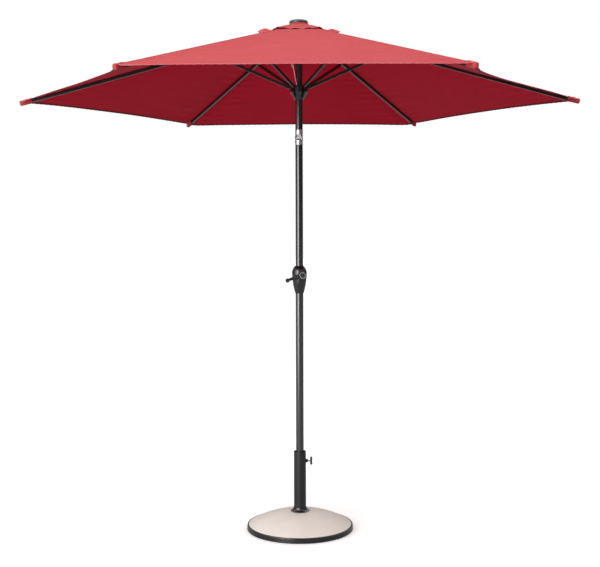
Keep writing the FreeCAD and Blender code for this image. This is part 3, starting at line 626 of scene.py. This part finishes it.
def rib_axes(number):
    """A rib's pivot, and the directions along it, beside it and over it."""
    angle = math.radians(STEP * (number - 1))
    c, s = math.cos(angle), math.sin(angle)
    out = np.array([c * math.cos(RIB_SLOPE), s * math.cos(RIB_SLOPE), -math.sin(RIB_SLOPE)])
    beside = np.array([-s, c, 0.0])
    return np.array([PIVOT_R * c, PIVOT_R * s, HUB_Z]), out, beside, np.cross(out, beside)


def on_rib(number, s, y, h):
    """The point s along a rib, y beside it and h over its centre line."""
    start, out, beside, up = rib_axes(number)
    return start + out * s + beside * y + up * h


TAPE_PROFILE = [(-6.5, -0.9), (-6.2, -0.1), (-4.0, 0.55), (-0.8, 1.0), (0.8, 1.0), (4.0, 0.55), (6.2, -0.1),
                (6.5, -0.9)]
TAPE_LIFT = 0.35                 # millimetres over the cloth's middle
TAPE_STITCH_Y, TAPE_STITCH_UP = 4.4 * MM, 0.85 * MM


def seam_tape(number, points, looks):
    """Felled seam over the rib with two rows of stitches."""
    ridge = points[:, points.shape[1] // 2]
    _, _, beside, up = rib_axes(number)
    solid = Solid()
    rings = []
    for k, p in enumerate(ridge[:-2]):
        lift = 0.12 * math.sin(k * 1.7) + 0.1 * math.sin(k * 0.61 + number)
        rings.append([p + beside * y * MM + up * (h + TAPE_LIFT + lift) * MM for y, h in TAPE_PROFILE])
    tape_points, faces = swept(rings, around=False)
    uv = np.stack([np.tile([y * MM for y, _ in TAPE_PROFILE], len(rings)),
                   np.repeat(np.linspace(0, 1.25, len(rings)), len(TAPE_PROFILE))], axis=1)
    solid.add(tape_points, faces, 0, uv)
    normal = np.broadcast_to(up, ridge[:-2].shape)
    for side in (-1, 1):
        line = ridge[:-2] + beside * side * TAPE_STITCH_Y + up * TAPE_STITCH_UP
        stitches(solid, line, normal, 1)
    made = solid.build(f"canopy_seam_{number}", [looks["canopy_red"], looks["thread"]])
    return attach(made, f"rib_{number}")


POCKET_POWER = 2 / 3.2           # squareness of the pocket's section
POCKET_START, POCKET_END = RIB_END - 46 * MM, RIB_END + 12 * MM
POCKET_WALL, POCKET_TIP = 1.1 * MM, 4.5 * MM
POCKET_STEPS, POCKET_TIP_STEPS, POCKET_AROUND = 22, 7, 40


def pocket_ring(number, s, half_w, top, low, twist):
    """One section of the pocket, with soft creases that wander along it."""
    ring = []
    for j in range(POCKET_AROUND):
        a = 2 * math.pi * j / POCKET_AROUND
        y = math.copysign(abs(math.cos(a)) ** POCKET_POWER, math.cos(a))
        h = math.copysign(abs(math.sin(a)) ** POCKET_POWER, math.sin(a))
        crease = 1 + 0.02 * math.sin(5 * a + twist) + 0.012 * math.sin(9 * a - 1.6 * twist)
        ring.append(on_rib(number, s, half_w * y * crease, (top if h > 0 else low) * h * crease))
    return ring


def pocket_rings(number):
    """Outer and inner sections of the pocket, from its open end to its closed tip."""
    outer, inner = [], []
    wall = POCKET_WALL
    for i in range(POCKET_STEPS + 1):
        share = i / POCKET_STEPS
        s = POCKET_START + (POCKET_END - POCKET_START) * share
        grow = float(smooth_step(share / 0.3))
        half_w = (8.0 + 1.2 * grow + 0.6 * math.sin(share * 9 + number)) * MM
        top = (14.4 + 0.6 * grow + 0.7 * math.sin(share * 12 + 2 * number)) * MM
        low = (12.4 - 2.4 * share) * MM
        twist = share * 7 + number
        outer.append(pocket_ring(number, s, half_w, top, low, twist))
        inner.append(pocket_ring(number, s, half_w - wall, top - wall, low - wall, twist))
    for i in range(1, POCKET_TIP_STEPS + 1):
        turn = math.pi / 2 * i / POCKET_TIP_STEPS
        size = max(math.cos(turn), 0.02)
        s = POCKET_END + POCKET_TIP * math.sin(turn)
        outer.append(pocket_ring(number, s, half_w * size, top * size, low * size, twist))
        inner.append(pocket_ring(number, s - wall, (half_w - wall) * size, (top - wall) * size,
                                 (low - wall) * size, twist))
    return outer, inner


def pocket(number, looks):
    """Corner pocket: a sewn sleeve pulled over the rib's end, open toward the hub and closed outside."""
    outer, inner = pocket_rings(number)
    rings = outer + inner[::-1]
    solid = Solid()
    points, faces = swept(rings, around=True)
    u = np.tile(np.linspace(0, 0.09, POCKET_AROUND), len(rings))
    v = np.repeat(np.linspace(0, 0.13, len(rings)), POCKET_AROUND)
    solid.add(points, faces, 0, np.stack([u, v], axis=1))
    for i in (4, POCKET_STEPS - 3):
        loop = np.array(outer[i] + outer[i][:1])
        outward = loop - loop.mean(0)
        outward = outward / np.linalg.norm(outward, axis=1, keepdims=True)
        stitches(solid, loop + outward * 0.1 * MM, outward, 1)
    made = solid.build(f"canopy_pocket_{number}", [looks["canopy_red"], looks["thread"]], 60.0)
    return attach(made, f"rib_{number}")


def hem(name, number, points, looks, scale=1.0):
    """The folded hem of a cloth grid, with painted shade on its downward faces and a row of stitches."""
    rings, inward, normal = hem_rings(points, scale)
    size = len(HEM_PROFILE)
    solid = Solid()
    band, faces = swept(rings, around=False)
    reach = np.concatenate([[0], np.cumsum(np.linalg.norm(np.diff(points[-1], axis=0), axis=1))])
    uv = np.stack([np.repeat(reach, size), np.tile([a * MM for a, _ in HEM_PROFILE], len(reach))], axis=1)
    solid.add(band, faces, 0, uv)
    for index in range(len(faces)):
        if HEM_INSIDE[0] <= index % size <= HEM_INSIDE[1]:
            solid.materials[index] = 2
    line = points[-1] + inward * HEM_STITCH_IN * scale * MM + normal * HEM_STITCH_UP * MM
    stitches(solid, line, normal, 1)
    made = solid.build(name, [looks["cloth_trim"], looks["thread"], looks["cloth_hem_inside"]])
    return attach(made, f"rib_{number}")


def fold_with(piece):
    """Gives the piece a mesh of its own."""
    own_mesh(piece)
    return piece


def main_panel(number, looks):
    """One panel of the main canopy with its hem, seam and corner pocket."""
    grid = kite(number, VENT_HOLE_R, CORNER_R - 1 * MM, MAIN_ROWS, MAIN_COLUMNS, MAIN_HEM_BOW)
    points = grid_points(grid, canopy_heights(number, grid))
    # the inner faces take the darker red, painted shade of the underside
    cloth = shell(f"canopy_cloth_{number}", points, CLOTH, looks["canopy_red"], looks["cloth_inside"])
    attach(cloth, f"rib_{number}")
    edge = hem(f"canopy_hem_{number}", number, points, looks)
    seam = seam_tape(number, points, looks)
    corner = pocket(number, looks)
    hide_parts(f"canopy_panel_{number}")
    for piece in (cloth, edge):
        fold_with(piece)


def vent_panel(number, looks):
    """One panel of the vent canopy with its hem."""
    grid = kite(number, VENT_INNER_R, VENT_R, VENT_ROWS, VENT_COLUMNS, VENT_HEM_BOW)
    points = grid_points(grid, vent_heights(number, grid))
    # the inner faces take the darker red, painted shade of the underside
    vent = shell(f"vent_cloth_{number}", points, CLOTH, looks["canopy_red"], looks["cloth_inside"])
    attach(vent, f"rib_{number}")
    edge = hem(f"vent_hem_{number}", number, points, looks, 0.7)
    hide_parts(f"canopy_panel_{number}")
    for piece in (vent, edge):
        fold_with(piece)


def canopy(looks):
    """The finial's collar, and six panels of the main canopy and of the vent canopy."""
    collar = finial_collar(looks)
    for number in range(1, RIB_COUNT + 1):
        main_panel(number, looks)
        vent_panel(number, looks)


COLLAR_R, COLLAR_AROUND = 46.5 * MM, 180
COLLAR_LOW, COLLAR_HIGH = VENT_TOP - 9 * MM, FINIAL_LOW.z + 3.5 * MM
# Depth in millimetres beyond COLLAR_R, and share of the collar's height
COLLAR_SECTION = [(0, 0.0), (0.4, 0.25), (0.9, 0.55), (0.6, 0.85), (-0.2, 1.0), (-2.0, 1.0), (-2.2, 0.5),
                  (-2.0, 0.0)]


def finial_collar(looks):
    """Gathered collar of cloth under the finial."""
    rings = []
    for k in range(COLLAR_AROUND):
        a = 2 * math.pi * k / COLLAR_AROUND
        wave = 1.6 * math.sin(23 * a + 0.8 * math.sin(5 * a)) + 0.7 * math.sin(41 * a + 1)
        ring = []
        for depth, up in COLLAR_SECTION:
            radius = COLLAR_R + (depth + wave * (0.35 + 0.65 * (1 - up))) * MM
            height = COLLAR_LOW + (COLLAR_HIGH - COLLAR_LOW) * up + 0.7 * MM * math.sin(17 * a + up)
            ring.append((radius * math.cos(a), radius * math.sin(a), height))
        rings.append(ring)
    points, faces = swept(rings, around=True)
    u = np.repeat(np.linspace(0, 0.3, COLLAR_AROUND), len(COLLAR_SECTION))
    v = np.tile(np.linspace(0, 0.03, len(COLLAR_SECTION)), COLLAR_AROUND)
    solid = Solid()
    solid.add(points, faces, 0, np.stack([u, v], axis=1))
    made = solid.build("finial_collar", [looks["canopy_red"]], 70.0)
    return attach(made, "upper_pole")


# Lift cord ----------------------------------------------------------------------------------------
CORD_R = 2.1 * MM
CORD_PITCH = 9 * MM              # one turn of the strands
CORD_STEP = 0.8 * MM
CORD_TOP_R, CORD_TOP_AZIMUTH = 42 * MM, math.radians(210)      # where it leaves its pulley
CORD_LOW_R, CORD_LOW_AZIMUTH = 40 * MM, math.radians(255)      # where it meets the runner
KNOT_AT = 0.66                   # share of the way down
BOW = Vector((-8 * MM, -2 * MM, 0))     # how far the knot hangs out of the straight line


def spline_points(route, count=24):
    """Points along a NURBS spline through control points."""
    curve = bpy.data.curves.new("route", "CURVE")
    curve.dimensions = "3D"
    curve.resolution_u = count
    spline = curve.splines.new("NURBS")
    spline.points.add(len(route) - 1)
    for point, place in zip(spline.points, route):
        point.co = (*place, 1.0)
    spline.order_u = 3
    spline.use_endpoint_u = True
    holder = bpy.data.objects.new("route", curve)
    bpy.context.scene.collection.objects.link(holder)
    mesh = bpy.data.meshes.new_from_object(holder)
    points = np.array([v.co for v in mesh.vertices])
    bpy.data.objects.remove(holder)
    bpy.data.meshes.remove(mesh)
    return points


def even_points(points, spacing):
    """Points at even distances along a line of points."""
    far = np.concatenate([[0], np.cumsum(np.linalg.norm(np.diff(points, axis=0), axis=1))])
    at = np.linspace(0, far[-1], max(2, round(far[-1] / spacing)))
    return np.stack([np.interp(at, far, points[:, k]) for k in range(3)], axis=1)


def rope_rings(points, radius, pitch, lobes=3, sides=12):
    """Rings of a laid rope whose strands turn once in each pitch."""
    ahead = np.gradient(points, axis=0)
    ahead = ahead / np.linalg.norm(ahead, axis=1, keepdims=True)
    aside = np.cross(ahead, [0.31, 0.95, 0.05])
    aside = aside / np.linalg.norm(aside, axis=1, keepdims=True)
    across = np.cross(ahead, aside)
    far = np.concatenate([[0], np.cumsum(np.linalg.norm(np.diff(points, axis=0), axis=1))])
    rings = []
    for k, p in enumerate(points):
        ring = []
        for j in range(sides):
            a = 2 * math.pi * j / sides
            r = radius * (0.92 + 0.1 * math.cos(lobes * a - 2 * math.pi * far[k] / pitch))
            ring.append(p + r * (math.cos(a) * aside[k] + math.sin(a) * across[k]))
        rings.append(ring)
    return rings


def cord_end(radius, azimuth, height):
    return Vector((radius * math.cos(azimuth), radius * math.sin(azimuth), height))


def laid_rope(name, control_points, looks):
    """A rope along a spline, and the points of its middle line."""
    points = even_points(spline_points(control_points), CORD_STEP)
    solid = Solid()
    solid.add(*swept(rope_rings(points, CORD_R, CORD_PITCH), around=False))
    return solid.build(name, [looks["cord_pink"]], 60.0), points


def overhand_knot(knot):
    """Control points of a loop around the cord and a short tail."""
    loops = [(4.2 * math.cos(a), 4.2 * math.sin(a), 3.4 * math.sin(2 * a + 0.6)) for a in
             np.linspace(0.4, 2 * math.pi + 0.2, 11)]
    tail = [(-5.0, -2.0, 3.0), (-8.0, -3.0, 7.0), (-8.5, -3.0, 11.0)]
    return [knot + Vector(p) * MM for p in loops + tail]


def lift_cord(looks):
    """The cord's run outside the pole, from its pulley to the runner."""
    low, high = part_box("lift_cord")
    top = cord_end(CORD_TOP_R, CORD_TOP_AZIMUTH, high.z)
    bottom = cord_end(CORD_LOW_R, CORD_LOW_AZIMUTH, low.z)
    knot = top.lerp(bottom, KNOT_AT) + BOW
    route = [top, top.lerp(bottom, 0.3) + BOW * 0.35, top.lerp(bottom, 0.55) + BOW * 0.8, knot,
             top.lerp(bottom, 0.78) + BOW * 0.6, bottom]
    cord, points = laid_rope("lift_cord_rope", route, looks)
    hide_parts("lift_cord")
    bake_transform(cord)
    made, _ = laid_rope("lift_cord_knot", overhand_knot(knot), looks)
    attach(made, "runner")


# Stage --------------------------------------------------------------------------------------------
CAMERA_AT = Vector((0.0592, -5.1317, 1.486))
LENS, SENSOR = 63.167, 36.0
SHIFT_X, SHIFT_Y = 0.00118, -0.1001
YAW, ROLL = math.radians(0.661), math.radians(-0.155)


def add_camera():
    data = bpy.data.cameras.new("camera")
    data.lens, data.sensor_width = LENS, SENSOR
    data.shift_x, data.shift_y = SHIFT_X, SHIFT_Y
    camera = bpy.data.objects.new("camera", data)
    bpy.context.scene.collection.objects.link(camera)
    level = Matrix.Rotation(YAW, 4, "Z") @ Matrix.Rotation(math.radians(90), 4, "X")
    camera.matrix_world = Matrix.Translation(CAMERA_AT) @ level @ Matrix.Rotation(ROLL, 4, "Z")
    bpy.context.scene.camera = camera


def add_light(name, place, aim, size, power, colour=(1, 1, 1)):
    """A rectangular softbox, aimed at a point and unseen by the camera."""
    data = bpy.data.lights.new(name, "AREA")
    data.shape = "RECTANGLE"
    data.size, data.size_y = size
    data.energy = power
    data.color = colour
    lamp = bpy.data.objects.new(name, data)
    bpy.context.scene.collection.objects.link(lamp)
    lamp.visible_camera = False
    lamp.location = place
    lamp.rotation_euler = (Vector(aim) - Vector(place)).to_track_quat("-Z", "Y").to_euler()
    return lamp


SKY = {"From Min": 0.1, "From Max": 0.9, "To Min": 0.02, "To Max": 1.4}
WHITE = (1, 1, 1, 1)


def add_world():
    """A white studio: the camera sees white, and more of the light comes from above than from below."""
    world = bpy.data.worlds.new("studio")
    bpy.context.scene.world = world
    world.use_nodes = True
    tree = world.node_tree
    back = tree.nodes["Background"]
    place = tree.nodes.new("ShaderNodeTexCoord").outputs["Generated"]
    parts = tree.nodes.new("ShaderNodeSeparateXYZ")
    tree.links.new(place, parts.inputs[0])
    sky = tree.nodes.new("ShaderNodeMapRange")
    for key, value in SKY.items():
        sky.inputs[key].default_value = value
    tree.links.new(parts.outputs["Z"], sky.inputs["Value"])
    path = tree.nodes.new("ShaderNodeLightPath")
    choose = tree.nodes.new("ShaderNodeMix")
    tree.links.new(path.outputs["Is Camera Ray"], choose.inputs[0])
    tree.links.new(sky.outputs[0], choose.inputs[2])
    choose.inputs[3].default_value = 1.0
    tree.links.new(choose.outputs[0], back.inputs["Strength"])
    back.inputs["Color"].default_value = WHITE


FLOOR_HALF = 40.0
FLOOR_DARK = (0.16, 0.16, 0.16, 1)      # what lights the canopy from below
FLOOR_PALE = (0.93, 0.93, 0.93, 1), (0.96, 0.96, 0.955, 1)
FLOOR_IN_GLOSS, FLOOR_GLOW = 0.3, 0.22


def add_floor():
    """Pale floor that shows white to the camera and throws little light up under the canopy."""
    mesh = bpy.data.meshes.new("floor")
    signs = [(-1, -1), (1, -1), (1, 1), (-1, 1)]
    mesh.from_pydata([(x * FLOOR_HALF, y * FLOOR_HALF, 0) for x, y in signs], [], [(0, 1, 2, 3)])
    floor = bpy.data.objects.new("floor", mesh)
    bpy.context.scene.collection.objects.link(floor)
    look = Look("floor_paper")
    rays = look.node("ShaderNodeLightPath").outputs
    in_gloss = look.math("MULTIPLY", rays["Is Glossy Ray"], FLOOR_IN_GLOSS)
    path = look.math("MAXIMUM", rays["Is Camera Ray"], in_gloss)
    paper = look.noise(60.0, 3.0)
    pale = look.blend(look.ramp(paper, 0.3, 0.7, 0.0, 1.0), *FLOOR_PALE)
    look.set(Base_Color=look.blend(path, FLOOR_DARK, pale), Roughness=0.95)
    look.set(Specular_IOR_Level=0.0, Emission_Color=WHITE)
    look.set(Emission_Strength=look.math("MULTIPLY", path, FLOOR_GLOW))
    mesh.materials.append(look.material)


KEY_COLOUR = (1.0, 0.995, 0.98)
# Softboxes that only show as reflections: name, place, size and power
GLOSSES = [("strip", (-2.9, -5.2, 2.0), (2.8, 5.5), 340), ("wide", (-4.6, -3.6, 2.0), (4.5, 5.0), 170)]


def add_stage():
    """Floor, world and lights. The key and the fill don't show in reflections, the GLOSSES only do."""
    scene = bpy.context.scene
    scene.view_settings.view_transform = "Standard"
    scene.view_settings.look = "None"
    add_world()
    add_floor()
    key = add_light("key", (-3.95, -5.05, 2.1), (0, 0, 1.9), (13.0, 4.2), 440, KEY_COLOUR)
    key.visible_glossy = False
    add_light("top", (-0.6, -1.4, 5.2), (0, 0, 2.2), (3.5, 3.5), 34)
    for name, place, size, power in GLOSSES:
        gloss = add_light(name, place, (0, 0, 1.6), size, power)
        gloss.visible_diffuse = False
    fill = add_light("fill", (-1.2, -3.8, 0.6), (0, 0, 2.25), (1.6, 1.0), 24)
    fill.visible_glossy = False
    add_light("rim", (2.4, 3.6, 3.2), (0, 0, 1.4), (1.0, 2.0), 20)


add_camera()
LOOKS = make_looks()
finish_cad_nodes(LOOKS)
canopy(LOOKS)
lift_cord(LOOKS)
add_stage()
